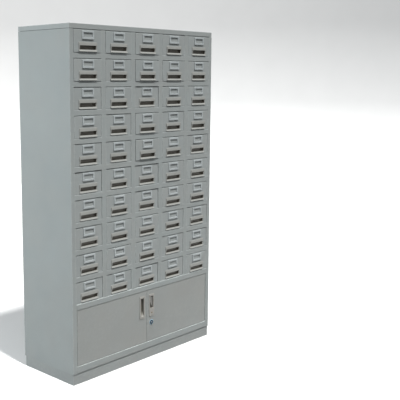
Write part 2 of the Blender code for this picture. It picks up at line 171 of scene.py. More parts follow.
def piece(name, data, body, material, place=(0, 0, 0), replaces=()):
    """A mesh in its place, riding on a body, in place of the CAD nodes it replaces."""
    made = bpy.data.objects.new(name, data)
    bpy.context.scene.collection.objects.link(made)
    made.location = place
    if not data.materials:
        data.materials.append(material)
    flatten_shading(made)
    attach(made, body)
    if replaces:
        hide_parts(*replaces)
    return made


def flatten_shading(made):
    """Large faces stay flat, and the shading turns only in the folds between them."""
    normals = made.modifiers.new("normals", "WEIGHTED_NORMAL")
    normals.keep_sharp = True
    normals.weight = 100
    normals.thresh = 0.01


def offset(profile, distance):
    """A line of (x, y, z) points moved sideways in its own plane, mitred where it turns."""
    points = [Vector(point) for point in profile]
    flat = min(range(3), key=lambda axis: max(p[axis] for p in points) - min(p[axis] for p in points))
    normal = Vector([float(axis == flat) for axis in range(3)])
    moved = []
    for index, point in enumerate(points):
        sides = []
        if index:
            sides.append(normal.cross(point - points[index - 1]).normalized())
        if index < len(points) - 1:
            sides.append(normal.cross(points[index + 1] - point).normalized())
        mean = sum(sides, Vector()).normalized()
        moved.append(point + mean * distance / mean.dot(sides[0]))
    return moved


def outline(low, high, corner, steps=3, rise=1):
    """A rounded rectangle between two corners, anticlockwise, with its upright sides in `rise` parts."""
    (left, bottom), (right, top) = low, high
    centres = (
        (right - corner, bottom + corner, -90),
        (right - corner, top - corner, 0),
        (left + corner, top - corner, 90),
        (left + corner, bottom + corner, 180),
    )
    points = []
    for number, (x, y, start) in enumerate(centres):
        for step in range(steps + 1):
            angle = math.radians(start + 90 * step / steps)
            points.append((x + corner * math.cos(angle), y + corner * math.sin(angle)))
        if number in (0, 2):
            here, there = points[-1][1], (top - corner, bottom + corner)[number // 2]
            points += [(points[-1][0], here + (there - here) * part / rise) for part in range(1, rise)]
    return points


def grown(low, high, extra):
    """A rectangle's two corners, moved outwards."""
    return (low[0] - extra, low[1] - extra), (high[0] + extra, high[1] + extra)


def upright(points, y):
    """(x, z) points as points in space at the depth y, which may be a function of z."""
    return [(x, y(z) if callable(y) else y, z) for x, z in points]


def lit(points, z, other):
    """Marks for (x, z) points: the edge at the level z gets a painted highlight, a bright line."""
    reach = 0.0035
    return [PAINTED_HIGHLIGHT if abs(point[1] - z) < reach else other for point in points]


def fold_arc(radius, turns=(0, 30, 60, 90)):
    """Steps round a quarter fold: the turn in degrees, a distance growing from 0 and one shrinking to 0."""
    for turn in turns:
        angle = math.radians(turn)
        yield turn, radius * (1 - math.cos(angle)), radius * (1 - math.sin(angle))


def level(points, z):
    """(x, y) points as points in space at the height z."""
    return [(x, y, z) for x, y in points]


def between(value, knots):
    """Straight lines through (place, height) knots."""
    for (start, low), (end, high) in zip(knots, knots[1:]):
        if value <= end:
            return low + (high - low) * max(0.0, value - start) / (end - start)
    return knots[-1][1]


# Materials


class Nodes:
    """A Principled material and short ways to add nodes to it."""

    def __init__(self, name, roughness, metallic=0.0, specular=0.5):
        self.material = bpy.data.materials.new(name)
        self.material.use_nodes = True
        self.tree = self.material.node_tree
        self.shader = self.tree.nodes["Principled BSDF"]
        self.shader.inputs["Roughness"].default_value = roughness
        self.shader.inputs["Metallic"].default_value = metallic
        self.shader.inputs["Specular IOR Level"].default_value = specular
        place = self.add("ShaderNodeTexCoord")
        info = self.add("ShaderNodeObjectInfo")
        apart = self.math("MULTIPLY", info.outputs["Random"], 37.0)
        shift = self.add("ShaderNodeVectorMath", operation="ADD")
        self.link(place.outputs["Object"], shift.inputs[0])
        self.link(apart, shift.inputs[1])
        self.place = shift.outputs[0]

    def add(self, kind, **settings):
        node = self.tree.nodes.new(kind)
        for key, value in settings.items():
            setattr(node, key, value)
        return node

    def link(self, source, target):
        self.tree.links.new(source, target)

    def math(self, operation, first, second):
        """Arithmetic on two values, each a number or a socket."""
        node = self.add("ShaderNodeMath", operation=operation)
        for socket, value in zip(node.inputs, (first, second)):
            if isinstance(value, (int, float)):
                socket.default_value = value
            else:
                self.link(value, socket)
        return node.outputs[0]

    def noise(self, scale, detail=2.0, stretch=None):
        """Noise from 0 to 1, with a feature size of about 1 / scale metres."""
        place = self.place
        if stretch:
            mapping = self.add("ShaderNodeMapping")
            mapping.inputs["Scale"].default_value = stretch
            self.link(place, mapping.inputs["Vector"])
            place = mapping.outputs[0]
        node = self.add("ShaderNodeTexNoise")
        node.inputs["Scale"].default_value = scale
        node.inputs["Detail"].default_value = detail
        self.link(place, node.inputs["Vector"])
        return node.outputs["Fac"]

    def spread(self, value, low, high, start=0.3, end=0.7):
        """value, with start to end stretched over low to high."""
        node = self.add("ShaderNodeMapRange")
        for name, number in (("From Min", start), ("From Max", end), ("To Min", low), ("To Max", high)):
            node.inputs[name].default_value = number
        self.link(value, node.inputs["Value"])
        return node.outputs[0]

    def mix(self, share, first, second):
        """Two colours mixed, each a socket or (r, g, b). A share over 1 carries on past the second."""
        node = self.add("ShaderNodeMix", data_type="RGBA", clamp_factor=False)
        for socket, value in zip((node.inputs[0], node.inputs[6], node.inputs[7]), (share, first, second)):
            if isinstance(value, tuple):
                socket.default_value = (*value, 1.0)
            elif isinstance(value, float):
                socket.default_value = value
            else:
                self.link(value, socket)
        return node.outputs[2]

    def bump(self, height, distance, strength):
        node = self.add("ShaderNodeBump")
        node.inputs["Strength"].default_value = strength
        node.inputs["Distance"].default_value = distance
        self.link(height, node.inputs["Height"])
        self.link(node.outputs[0], self.shader.inputs["Normal"])

    def colour(self, source):
        self.link(source, self.shader.inputs["Base Color"])

    def roughness(self, source):
        self.link(source, self.shader.inputs["Roughness"])

    def marked(self, name):
        """A mark in the mesh: its worn edges, or the dark insides of its slots."""
        return self.add("ShaderNodeAttribute", attribute_name=name).outputs["Fac"]


def scaled(colour, factor):
    return tuple(channel * factor for channel in colour)


def powder_coat(name, colour, cloudy=0.05):
    """Semi-matt powder coat: cloudy, finely speckled, with an orange-peel surface and folds lightened by
    wear and by painted highlights.
    """
    nodes = Nodes(name, 0.5, specular=0.4)
    tone = nodes.spread(nodes.noise(2.2, 3.0), 0.0, 1.0)
    shade = nodes.mix(tone, scaled(colour, 1 - cloudy), scaled(colour, 1 + cloudy))
    warm = (colour[0] * 1.03, colour[1] * 0.99, colour[2] * 0.97)
    shade = nodes.mix(nodes.spread(nodes.noise(5.5, 2.0), 0.0, 0.75), shade, warm)
    speckle = nodes.spread(nodes.noise(900.0, 1.0), 0.0, 0.10)
    shade = nodes.mix(speckle, shade, scaled(colour, 0.55))
    # Edges are lightened in patches, for wear and as painted highlights where the light catches them; the
    # mix runs past 1 for the strongest marks.
    edge_patches = nodes.spread(nodes.noise(60.0, 3.0), 0.16, 0.60, 0.45, 0.75)
    wear_and_painted_light = nodes.math("MULTIPLY", nodes.marked("edge"), edge_patches)
    nodes.colour(nodes.mix(wear_and_painted_light, shade, scaled(colour, 1.45)))
    nodes.roughness(nodes.spread(nodes.noise(14.0, 4.0), 0.42, 0.58))
    peel = nodes.math("ADD", nodes.noise(420.0, 2.0), nodes.math("MULTIPLY", nodes.noise(8.0, 2.0), 3.0))
    nodes.bump(peel, 0.00035, 0.35)
    return nodes.material


def moulded(name, colour, roughness, speckled=0.08, specular=0.45):
    """Satin moulded plastic: a fine spark texture, faint flow marks and a little dirt in its tone, edges
    lightened by wear and by painted highlights, and painted shade inside its slots.
    """
    nodes = Nodes(name, roughness, specular=specular)
    tone = nodes.spread(nodes.noise(25.0, 3.0, (1.0, 1.0, 2.5)), 0.0, 1.0)
    shade = nodes.mix(tone, scaled(colour, 0.94), scaled(colour, 1.06))
    shade = nodes.mix(nodes.spread(nodes.noise(700.0, 1.0), 0.0, speckled), shade, scaled(colour, 0.5))
    # Edges lightened for wear and as painted highlights.
    shade = nodes.mix(nodes.math("MULTIPLY", nodes.marked("edge"), 0.3), shade, scaled(colour, 1.4))
    # Painted shade: where the shade mask is set, the colour turns dark brown for the shaded insides of slots
    # and recesses.
    nodes.colour(nodes.mix(nodes.marked("painted_shade"), shade, (0.110, 0.100, 0.080)))
    nodes.roughness(nodes.spread(nodes.noise(90.0, 3.0), roughness - 0.07, roughness + 0.08))
    nodes.bump(nodes.noise(1600.0, 1.0), 0.00012, 0.3)
    return nodes.material


def plated(name, colour, roughness):
    """Bright plated metal with fine turning marks."""
    nodes = Nodes(name, roughness, metallic=1.0)
    tone = nodes.spread(nodes.noise(300.0, 3.0), 0.0, 1.0)
    nodes.colour(nodes.mix(tone, scaled(colour, 0.9), scaled(colour, 1.05)))
    nodes.roughness(nodes.spread(nodes.noise(500.0, 2.0, (1.0, 1.0, 6.0)), roughness * 0.7, roughness * 1.5))
    nodes.bump(nodes.noise(1500.0, 2.0), 0.00008, 0.25)
    return nodes.material


def pale_floor(name, colour):
    """Matt paint that is very slightly uneven in tone."""
    nodes = Nodes(name, 0.9, specular=0.1)
    tone = nodes.spread(nodes.noise(3.0, 2.0), 0.0, 1.0)
    nodes.colour(nodes.mix(tone, scaled(colour, 0.99), scaled(colour, 1.01)))
    return nodes.material


# The case


def cell_edge(low, high, hole, steps):
    """The edge of a rectangular cell, with one point for each point of the hole's outline."""
    (left, bottom), (right, top) = low, high
    middle = steps / 2
    corners = ((right, bottom), (right, top), (left, top), (left, bottom))
    points = []
    for corner, (x, y) in enumerate(corners):
        for step in range(steps + 1):
            near = hole[corner * (steps + 1) + step]
            before = step < middle
            if step == middle:
                points.append((x, y))
            elif before == (corner % 2 == 0):
                points.append((near[0], y))
            else:
                points.append((x, near[1]))
    return points


def framed_hole(skin, cell, low, high, corner=0.0008):
    """A flat cell of the face frame round a hole whose edge is folded back."""
    steps = 4
    mouth = outline(*grown(low, high, FOLD), corner + FOLD, steps)
    rings = [(upright(cell_edge(*cell, mouth, steps), FRONT), 0.0), (upright(mouth, FRONT), 0.3)]
    for turn, behind, extra in fold_arc(FOLD, (30, 60)):
        ring = outline(*grown(low, high, extra), corner + extra, steps)
        # Painted highlight: the fold along the opening's lower edge is a bright line, and the other folds
        # are lightened too.
        rings.append((upright(ring, FRONT + behind), lit(ring, low[1], 1.6)))
    edge = outline(low, high, corner, steps)
    rings.append((upright(edge, FRONT + FOLD), 0.3))
    rings.append((upright(edge, FRONT + OPENING_FLANGE), 0.0))
    back = outline(*grown(low, high, INNER_SHEET), corner + INNER_SHEET, steps)
    rings.append((upright(back, FRONT + OPENING_FLANGE), 0.0))
    rings.append((upright(back, FRONT + FOLD + SKIN), 0.0))
    skin.loft(rings)


def opening_middle(row, column):
    """The middle of a drawer's opening in X and Z."""
    x = (column - (COLUMNS + 1) / 2) * COLUMN_PITCH
    return x, FIRST_OPENING_TOP - (row - 1) * ROW_PITCH - OPENING_HEIGHT / 2


def grid_lines():
    """The levels between the rows' cells, from the top of the case down to the header rail."""
    rail = (ROW_PITCH - OPENING_HEIGHT) / 2
    lines = [CASE_TOP]
    for row in range(1, ROWS + 1):
        lines.append(opening_middle(row, 1)[1] - OPENING_HEIGHT / 2 - rail)
    return lines


def face_frame(paint):
    """The sheet across the front, folded back round every opening and round both sides of the case."""
    skin = Skin()
    lines = grid_lines()
    for row in range(1, ROWS + 1):
        for column in range(1, COLUMNS + 1):
            x, z = opening_middle(row, column)
            low = (x - OPENING_WIDTH / 2, z - OPENING_HEIGHT / 2)
            high = (x + OPENING_WIDTH / 2, z + OPENING_HEIGHT / 2)
            if row == 1:  # the first row's openings end just under the case's upper edge
                high = (high[0], CASE_TOP - FOLD - INNER_SHEET / 4)
            cell = (x - COLUMN_PITCH / 2, lines[row]), (x + COLUMN_PITCH / 2, lines[row - 1])
            framed_hole(skin, cell, low, high)
    doorway = (-DOORWAY_HALF, DOORWAY_BOTTOM), (DOORWAY_HALF, DOORWAY_TOP)
    cell = (-GRID_HALF, CASE_BOTTOM), (GRID_HALF, lines[-1])
    framed_hole(skin, cell, *doorway, corner=0.0004)
    for side in (-1, 1):
        corner = [(GRID_HALF, FRONT), (HALF_WIDTH - FOLD, FRONT)]
        for turn, behind, inset in fold_arc(FOLD, (30, 60)):
            corner.append((HALF_WIDTH - inset, FRONT + behind))
        corner.append((HALF_WIDTH, FRONT + FOLD))
        wear_and_painted_light = (0.0, 0.3, 1.0, 1.0, 0.3)
        columns = []
        for (x, y), fold_wear_and_light in zip(corner, wear_and_painted_light):
            columns.append(skin.ring([(side * x, y, z) for z in [CASE_BOTTOM] + lines[::-1]], fold_wear_and_light))
        for near, far in zip(columns, columns[1:]):
            for here in range(len(near) - 1):
                skin.shape.faces.new((near[here], near[here + 1], far[here + 1], far[here]))
    skin.finish("face_frame", "cabinet", paint, replaces=("drawer_rack",))


def case_shell(paint):
    """Sides and back in one sheet, which meets the face frame's folded edges."""
    profile = []
    for side in (-1, 1):
        arc = []
        for turn, inset, before in fold_arc(FOLD):
            arc.append((side * (HALF_WIDTH - inset), BACK - before, 0.0))
        edge = (side * HALF_WIDTH, FRONT + FOLD, 0.0)
        profile += [edge] + arc if side < 0 else arc[::-1] + [edge]
    skin = Skin()
    skin.sheet(profile, -SKIN, (0, 0, CASE_BOTTOM), (0, 0, CASE_TOP))
    skin.finish("case_sides_and_back", "cabinet", paint, replaces=("cabinet_shell",))


def top_cap(paint):
    """A shallow pan, face up, with turned-down edges that stop a little above the case."""
    low, high = (-HALF_WIDTH, FRONT), (HALF_WIDTH, BACK)
    foot, top = CAP_LOW.z + CAP_GAP, CAP_HIGH.z
    fold = 0.0020
    corner = fold * 1.5
    outer = [(level(outline(low, high, corner, 4), foot), 0.2)]
    for turn, inset, under in fold_arc(fold):
        ring = outline(*grown(low, high, -inset), corner - inset, 4)
        outer.append((level(ring, top - under), 0.5 if 0 < turn < 90 else 0.1))
    ring = outline(*grown(low, high, -SKIN), corner - SKIN, 4)
    inner = [(level(ring, top - depth), 0.0) for depth in (SKIN, top - foot)]
    skin = Skin()
    skin.loft(inner[::-1], caps=(False, True))
    skin.loft(outer, caps=(False, True))
    skin.loft([inner[-1], outer[0]])
    skin.finish("cabinet_top", "cabinet", paint, replaces=("top_cap",))


def plinth(paint):
    """An upright band with a flange folded in at its top and foot."""
    skin = Skin()
    low, high = grown((PLINTH_LOW.x, PLINTH_LOW.y), (PLINTH_HIGH.x, PLINTH_HIGH.y), PLINTH_WIDER)
    flange, corner, top = 0.030, 0.003, PLINTH_HIGH.z
    rings = []

    def add(inset, z, wear_and_painted_light=0.0):
        rings.append((level(outline(*grown(low, high, -inset), max(corner - inset, 0.0005), 4), z), wear_and_painted_light))

    add(flange, 0.0)
    add(FOLD, 0.0, 0.3)
    add(FOLD * 0.3, FOLD * 0.3, 1.0)
    add(0.0, FOLD, 0.3)
    add(0.0, top - FOLD, 0.3)
    add(FOLD * 0.3, top - FOLD * 0.3, 1.0)
    add(FOLD, top)
    add(flange, top)
    add(flange, top - SKIN)
    add(SKIN, top - SKIN)
    add(SKIN, SKIN)
    add(flange, SKIN)
    skin.loft(rings, wrap=True)
    skin.finish("plinth", "cabinet", paint, replaces=("plinth_base",))


def inner_sheets(paint):
    """Shelves, upright sheets, the cupboard's floor and the lip that the doors close against."""
    skin = Skin()
    front, back = FRONT + FOLD * 2, BACK - SKIN - 0.0006
    half = HALF_WIDTH - SKIN - 0.0005
    across = GRID_HALF - (COLUMN_PITCH - OPENING_WIDTH) / 2 + 0.0030
    lowest = opening_middle(ROWS, 1)[1] - OPENING_HEIGHT / 2
    levels = [(opening_middle(row, 1)[1] - OPENING_HEIGHT / 2, across) for row in range(1, ROWS)]
    levels += [(lowest, half), (DOORWAY_BOTTOM, half)]
    hook = 0.012
    for z, side in levels:
        under = z - 0.0001
        shelf = [(0, front, under - hook), (0, front, under - FOLD), (0, front + FOLD, under)]
        shelf += [(0, back - FOLD, under), (0, back, under - FOLD), (0, back, under - hook)]
        skin.sheet(shelf, -INNER_SHEET, (-side, 0, 0), (side, 0, 0))
    flange = 0.008
    for column in range(1, COLUMNS + 1):
        for side in (-1, 1):
            x = opening_middle(1, column)[0] + side * (OPENING_WIDTH / 2 + 0.0012)
            ends = [(x + side * flange, front, 0), (x + side * FOLD, front, 0), (x, front + FOLD, 0)]
            ends += [(x, back - FOLD, 0), (x + side * FOLD, back, 0), (x + side * flange, back, 0)]
            skin.sheet(ends, -side * INNER_SHEET, (0, 0, lowest), (0, 0, CASE_TOP - 0.001))
    lip = DOOR_FACE + DOOR_THICKNESS + SKIN
    over = DOORWAY_TOP + 0.0002
    stop = [(0, FRONT + FOLD * 2, over), (0, lip - FOLD, over), (0, lip, over - FOLD)]
    stop.append((0, lip, over - flange))
    skin.sheet(stop, INNER_SHEET, (-DOORWAY_HALF, 0, 0), (DOORWAY_HALF, 0, 0))
    skin.finish("shelves_and_uprights", "cabinet", paint)


def rail(name, bottom, top, paint):
    """A folded strip across the case, a little proud, with a round upper edge and a small lower one."""
    skin = Skin()
    half = DOORWAY_HALF - 0.0005
    back, face = FRONT - 0.00005, FRONT - RAIL_PROUD
    profile = [(back, bottom, 0.0)]
    for turn, rise, behind in fold_arc(RAIL_ROUND * 0.3, (0, 45, 90)):
        profile.append((face + behind, bottom + rise, 0.0))
    for turn, drop, behind in fold_arc(RAIL_ROUND, (90, 60, 30, 0)):
        # Painted highlight: the rail's upper round edge is a bright line.
        profile.append((face + behind, top - drop, RAIL_HIGHLIGHT if turn < 90 else 0.0))
    profile.append((back, top, 0.0))
    rings = []
    for inset, shrink in ((0.0, 0.3), (0.0008, 1.0)):  # the ends taper towards the case
        rings.append([(-half + inset, FRONT + (y - FRONT) * shrink, z) for y, z, wear_and_painted_light in profile])
    rings += [[(-x, y, z) for x, y, z in ring] for ring in rings[::-1]]
    marks = [wear_and_painted_light for y, z, wear_and_painted_light in profile]
    skin.loft([(ring, marks) for ring in rings], caps=(True, True))
    skin.finish(name, "cabinet", paint)


# Drawers


def drawer_mesh():
    """A hollow folded front and the tray behind it, about the middle of the opening."""
    skin = Skin()
    half = OPENING_WIDTH / 2 - GAP_BESIDE
    bottom, top = -TOP + GAP_UNDER, TOP - GAP_OVER
    low, high = (-half, bottom), (half, top)
    slot = (-SLOT_HALF, TOP - SLOT_BOTTOM), (SLOT_HALF, TOP - SLOT_TOP + POCKET_RISE)
    hole = grown(*slot, 0.002)
    corner = 0.0012
    rings = [(upright(outline(low, high, corner), FRONT_PAN), 0.2)]
    for turn, inset, behind in fold_arc(FOLD):
        ring = outline(*grown(low, high, -inset), corner)
        # Painted highlight: the front's top fold is a bright line, and its other folds are lightened too.
        rings.append((upright(ring, behind), lit(ring, top, 1.8) if 0 < turn < 90 else 0.2))
    rings.append((upright(outline(*hole, corner), 0.0), 0.0))
    rings.append((upright(outline(*hole, corner), SKIN), 0.0))
    rings.append((upright(outline(*grown(low, high, -FOLD - SKIN), corner), SKIN), 0.0))
    rings.append((upright(outline(*grown(low, high, -SKIN), corner), SKIN + FOLD), 0.0))
    rings.append((upright(outline(*grown(low, high, -SKIN), corner), FRONT_PAN), 0.0))
    skin.loft(rings, wrap=True)
    add_tray(skin, half - 0.0002, bottom, bottom + TRAY_WALL)
    return skin.mesh("drawer")


def add_tray(skin, half, bottom, rim):
    """An open tray with a rounded rim, and the raised back wall that keeps it in the cabinet."""
    low, high = (-half, FRONT_PAN - INNER_SHEET), (half, TRAY_LENGTH)
    corner, bead = 0.0030, 0.0030
    rings = []

    def add(inset, z, wear_and_painted_light=0.0):
        rings.append((level(outline(*grown(low, high, -inset), corner - inset), z), wear_and_painted_light))

    add(FOLD, bottom, 0.2)
    add(FOLD * 0.3, bottom + FOLD * 0.3, 0.6)
    add(0.0, bottom + FOLD)
    add(0.0, rim - HEM, 0.4)
    add(HEM * 0.3, rim - HEM * 0.3, 1.0)
    add(HEM, rim, 1.0)
    add(HEM * 1.7, rim - HEM * 0.3, 1.0)
    add(HEM * 2, rim - HEM, 0.4)
    add(HEM * 2, rim - bead)
    add(INNER_SHEET, rim - bead - HEM)
    add(INNER_SHEET, bottom + FOLD + INNER_SHEET)
    add(INNER_SHEET + FOLD, bottom + INNER_SHEET)
    skin.loft(rings, caps=(True, True))
    stop_half, overlap = half - 0.006, 0.020
    stop = outline((-stop_half, rim - overlap), (stop_half, TOP + STOP_RISE), 0.004)
    wall = TRAY_LENGTH - INNER_SHEET * 2 - 0.0006, TRAY_LENGTH - INNER_SHEET - 0.0006
    skin.loft([(upright(stop, y), 0.5) for y in wall], caps=(True, True))


def label_mesh():
    """A moulded frame round an empty window."""
    skin = Skin()
    low, high = (-LABEL_HALF, TOP - LABEL_BOTTOM), (LABEL_HALF, TOP - LABEL_TOP)
    window = (-WINDOW_HALF, TOP - WINDOW_BOTTOM), (WINDOW_HALF, TOP - WINDOW_TOP)
    corner, soft = 0.0022, 0.0008
    rings = [(upright(outline(low, high, corner), 0.0001), 0.0)]
    for turn, inset, behind in fold_arc(soft):
        ring = outline(*grown(low, high, -inset), corner)
        rings.append((upright(ring, -LABEL_PROUD + behind), 1.0 if turn == 60 else 0.0))
    rings.append((upright(outline(*grown(*window, 0.0009), 0.0014), -LABEL_PROUD), 0.0))
    rings.append((upright(outline(*grown(*window, 0.0003), 0.0010), -LABEL_PROUD + 0.0002), 1.0))
    rings.append((upright(outline(*window, 0.0008), -LABEL_PROUD + 0.0008), 0.0))
    rings.append((upright(outline(*window, 0.0008), 0.0001), 0.0))
    skin.loft(rings, wrap=True)
    return skin.mesh("label_holder")


def pull_mesh():
    """A cup pull in one moulding: a hood that slopes out over the slot, a lip below and a pocket behind."""
    skin = Skin()
    low, high = (-PULL_HALF, TOP - PULL_BOTTOM), (PULL_HALF, TOP - PULL_TOP)
    slot_low, slot_high = (-SLOT_HALF, TOP - SLOT_BOTTOM), (SLOT_HALF, TOP - SLOT_TOP)
    parts, soft = 12, 0.0011
    outer = [
        (low[1], PULL_LIP),
        (slot_low[1] - 0.001, PULL_FOOT * 2),
        (slot_high[1] - 0.005, PULL_RIM + 0.0006),
        (slot_high[1], PULL_HOOD * 0.92),
        (high[1], PULL_RIM),
    ]
    inner = [(slot_low[1], PULL_FOOT), (slot_high[1] - 0.006, PULL_RIM + 0.0006), (slot_high[1], PULL_HOOD)]

    def add(low, high, corner, y, wear_and_painted_light=0.0, lip=None):
        ring = outline(low, high, corner, 3, parts)
        if lip is not None:
            wear_and_painted_light = [lip if z < slot_low[1] else wear_and_painted_light for x, z in ring]
        rings.append((upright(ring, y), wear_and_painted_light))

    rings = []
    pocket_high = (slot_high[0], slot_high[1] + POCKET_RISE)
    behind = grown(slot_low, pocket_high, POCKET_WALL)
    add(*behind, 0.003, POCKET_DEPTH + POCKET_WALL)
    add(*behind, 0.003, SKIN)
    add(low, high, 0.003, 0.0001)
    add(low, high, 0.003, lambda z: soft - between(z, outer))
    # The rims are lightened for wear and as painted highlights; the lip below the slot gets a stronger
    # painted highlight where it faces up.
    add(*grown(low, high, -soft * 0.3), 0.003, lambda z: soft * 0.3 - between(z, outer), 0.8, 2.0)
    add(*grown(low, high, -soft), 0.0025, lambda z: -between(z, outer), 0.2, 2.0)
    add(*grown(slot_low, slot_high, 0.0009), 0.0022, lambda z: -between(z, inner), 0.0, 1.0)
    add(*grown(slot_low, slot_high, 0.0003), 0.0018, lambda z: 0.0003 - between(z, inner), 0.8, 1.0)
    add(slot_low, slot_high, 0.0015, lambda z: 0.0010 - between(z, inner))
    add(slot_low, slot_high, 0.0015, lambda z: 0.0002 - between(z, inner) * 0.5)
    # Painted shade: the slot's inside and the pocket behind it are coloured dark.
    add(slot_low, (slot_high[0], slot_high[1] + POCKET_RISE * 0.7), 0.0015, 0.0010, DEEP)
    add(slot_low, pocket_high, 0.0015, 0.0030, DEEP)
    add(*grown(slot_low, pocket_high, -0.001), 0.003, POCKET_DEPTH, DEEP)
    skin.loft(rings, caps=(True, True))
    return skin.mesh("pull", 40)


def build_drawers(paint, label_plastic, pull_plastic):
    """Every drawer's three pieces, which share their meshes with the other drawers'."""
    shapes = drawer_mesh(), label_mesh(), pull_mesh()
    for row in range(1, ROWS + 1):
        for column in range(1, COLUMNS + 1):
            mark = f"r{row:02d}_c{column}"
            node = "drawer_" + mark
            low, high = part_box(node)
            spot = ((low.x + high.x) / 2, low.y + PULL_HOOD, low.z + TOP - GAP_UNDER)
            piece("drawer_body_" + mark, shapes[0], node, paint, spot, (node,))
            piece("label_holder_" + mark, shapes[1], node, label_plastic, spot)
            piece("cup_pull_" + mark, shapes[2], node, pull_plastic, spot)


# Doors


def door_mesh(side):
    """A folded pan, open behind, with a flange turned in round its back."""
    inner, outer = DOOR_SEAM / 2, DOORWAY_HALF - DOOR_HINGE_GAP
    left, right = sorted((side * inner, side * outer))
    bottom, top = DOORWAY_BOTTOM + DOOR_EDGE_GAP, DOORWAY_TOP - DOOR_EDGE_GAP
    low, high = (left, bottom), (right, top)
    skin = Skin()
    corner, back = 0.0010, DOOR_FACE + DOOR_THICKNESS
    rings = [(upright(outline(low, high, corner), back), 0.2)]
    for turn, inset, behind in fold_arc(FOLD):
        ring = outline(*grown(low, high, -inset), corner)
        # Painted highlight: the door's top fold is a bright line.
        rings.append((upright(ring, DOOR_FACE + behind), lit(ring, top, 0.6) if 0 < turn < 90 else 0.2))
    flange, under = 0.014, DOOR_THICKNESS - SKIN
    hidden = [(FOLD + SKIN, SKIN), (SKIN, SKIN + FOLD), (SKIN, under), (flange, under)]
    hidden.append((flange, DOOR_THICKNESS))
    inside = []
    for inset, y in hidden:
        inside.append((upright(outline(*grown(low, high, -inset), corner), DOOR_FACE + y), 0.0))
    skin.loft(rings, caps=(False, True))
    skin.loft(inside[::-1], caps=(False, True))
    skin.loft([inside[-1], rings[0]])
    return skin.mesh("door")


def cut(target, cutters):
    """Takes the cutters away from the target's mesh."""
    target.modifiers.clear()
    for data in cutters:
        tool = bpy.data.objects.new("cutter", data)
        bpy.context.scene.collection.objects.link(tool)
        modifier = target.modifiers.new("cut", "BOOLEAN")
        modifier.operation = "DIFFERENCE"
        modifier.solver = "EXACT"
        modifier.object = tool
        bpy.context.view_layer.update()
        result = target.evaluated_get(bpy.context.evaluated_depsgraph_get())
        made = bpy.data.meshes.new_from_object(result)
        target.modifiers.clear()
        target.data = made
        bpy.data.objects.remove(tool, do_unlink=True)
    target.data.set_sharp_from_angle(angle=math.radians(32))
    flatten_shading(target)


def cutter(name, points, near, far):
    """A straight bar to cut with: the (x, z) points, from one depth to another."""
    return Skin().loft([(upright(points, y), 0.0) for y in (near, far)], caps=(True, True)).mesh(name)


def cut_keyway(target, x, z, half_height, near, far):
    """Cuts an upright keyway into a plug."""
    half_width = 0.0006
    shape = outline((x - half_width, z - half_height), (x + half_width, z + half_height), 0.0004)
    cut(target, [cutter("keyway", shape, near, far)])


def turned(skin, profile, centre, sides=32, axis="Y"):
    """A solid of revolution through (radius, distance along the axis, mark) points, capped at both ends."""
    rings = []
    for radius, along, wear_and_painted_light in profile:
        points = []
        for step in range(sides):
            angle = 2 * math.pi * step / sides
            x, other = radius * math.cos(angle), radius * math.sin(angle)
            offset_by = (x, along, other) if axis == "Y" else (x, other, along)
            points.append(Vector(centre) + Vector(offset_by))
        rings.append((points, wear_and_painted_light))
    skin.loft(rings, caps=(True, True))


def cup_recess(side):
    """The recess's corners in X and Z."""
    height = LEFT_RECESS if side < 0 else RIGHT_RECESS
    centre = side * CUP_CENTRE
    return (centre - RECESS_HALF, RECESS_TOP - height), (centre + RECESS_HALF, RECESS_TOP)


def door(name, side, paint):
    """The door with its holes, and the two stiffeners that ride with it."""
    panel = piece(name + "_panel", door_mesh(side), name, paint, replaces=(name,))
    low, high = grown(*cup_recess(side), 0.0018)
    near, far = -0.02, 0.01
    cutters = [cutter("hole", outline(low, high, 0.004), DOOR_FACE + near, DOOR_FACE + far)]
    if side > 0:
        bore = Skin()
        turned(bore, [(LOCK_BORE, near, 0.0), (LOCK_BORE, far, 0.0)], LOCK_PLACE)
        cutters.append(bore.mesh("bore"))
    cut(panel, cutters)
    skin = Skin()
    bottom, top = DOORWAY_BOTTOM + DOOR_EDGE_GAP + 0.002, DOORWAY_TOP - DOOR_EDGE_GAP - 0.002
    brim, foot, crown, rise = 0.024, 0.014, 0.010, 0.010
    y = DOOR_FACE + SKIN + 0.0001
    for place in STIFFENERS:
        x = place * side
        hat = [(x - brim, y, 0), (x - foot, y, 0), (x - crown, y + rise, 0)]
        hat += [(x + crown, y + rise, 0), (x + foot, y, 0), (x + brim, y, 0)]
        skin.sheet(hat, INNER_SHEET, (0, 0, bottom), (0, 0, top))
    skin.finish(name + "_stiffeners", name, paint)


def pivots(name, side, metal):
    """The turned pins at the top and bottom of a door."""
    x = side * (DOORWAY_HALF - DOOR_HINGE_GAP - PIVOT_OFFSET)
    skin = Skin()
    for start, way in ((DOORWAY_BOTTOM + DOOR_EDGE_GAP, -1), (DOORWAY_TOP - DOOR_EDGE_GAP, 1)):
        profile = [(PIVOT_RADIUS, -0.001, 0.0), (PIVOT_RADIUS, PIVOT_REACH - 0.0008, 0.0)]
        profile += [(PIVOT_RADIUS * 0.85, PIVOT_REACH - 0.0002, 0.5), (PIVOT_RADIUS * 0.5, PIVOT_REACH, 0.5)]
        profile = [(radius, way * along, wear_and_painted_light) for radius, along, wear_and_painted_light in profile]
        turned(skin, profile, (x, DOOR_FACE + PIVOT_OFFSET, start), 16, "Z")
    skin.finish(name + "_pivot_pins", name, metal)


